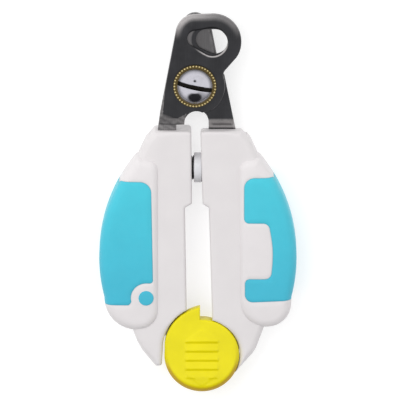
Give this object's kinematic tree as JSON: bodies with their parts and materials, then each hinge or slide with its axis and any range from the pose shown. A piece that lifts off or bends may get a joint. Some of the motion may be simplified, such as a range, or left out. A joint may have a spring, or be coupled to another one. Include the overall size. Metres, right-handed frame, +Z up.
{
  "type": "guillotine nail clipper",
  "caption": "Hand-held pet nail clipper: a ring blade and a cutter blade cross on a screw, with sprung soft-grip handles and a turning lock disc.",
  "frame": {"origin": "on the resting plane, under the middle of the clipper lying flat on its back", "axes": "+X towards the right-hand handle, +Y towards the cutting head, +Z up through the thickness"},
  "size_m": [0.065, 0.1276, 0.0144],
  "materials": {
    "blade_steel": "dark satin stainless steel with ground bevels",
    "chrome": "polished chrome plate",
    "brass": "beaded brass",
    "zinc_steel": "zinc-plated steel",
    "spring_steel": "blackened spring wire",
    "handle_plastic": "fine satin moulded plastic, warm white",
    "grip_white": "soft-touch matt rubber, white",
    "grip_teal": "soft-touch matt rubber, light teal",
    "cup_plastic": "smooth white plastic",
    "lock_plastic": "satin moulded plastic, yellow"
  },
  "bodies": {
    "right_half": {"cutter_blade": "blade_steel", "pivot_screw": "chrome", "pivot_washer": "brass", "rear_washer": "zinc_steel", "pivot_nut": "zinc_steel", "right_handle_front": "handle_plastic", "right_handle_rear": "handle_plastic", "right_handle_screws": "zinc_steel", "right_grip_pad": "grip_white", "right_grip_inlay": "grip_teal", "spring_cup": "cup_plastic", "return_spring": "spring_steel", "lock_plate": "zinc_steel"},
    "left_half": {"ring_blade": "blade_steel", "left_handle_front": "handle_plastic", "left_handle_rear": "handle_plastic", "left_handle_screws": "zinc_steel", "left_grip_pad": "grip_white", "left_grip_inlay": "grip_teal", "left_grip_dot": "grip_teal", "spring_seat": "cup_plastic", "lock_catch": "zinc_steel"},
    "lock_disc": {"lock_disc_front": "lock_plastic", "lock_disc_rear": "lock_plastic", "lock_axle": "zinc_steel", "lock_peg": "zinc_steel"}
  },
  "joints": [
    {"name": "handles_open", "type": "hinge", "parent": "right_half", "child": "left_half", "pos_m": [-0.001, 0.03977, 0.008], "axis": [0, 0, -1], "range_deg": [0, 20], "stiffness_Nm_per_rad": 0.3, "springref_deg": 25.78, "deforming": ["return_spring"]},
    {"name": "lock_turn", "type": "hinge", "parent": "right_half", "child": "lock_disc", "pos_m": [0.0013, -0.05143, 0.007], "axis": [0, 0, -1], "range_deg": [0, 12]}
  ]
}
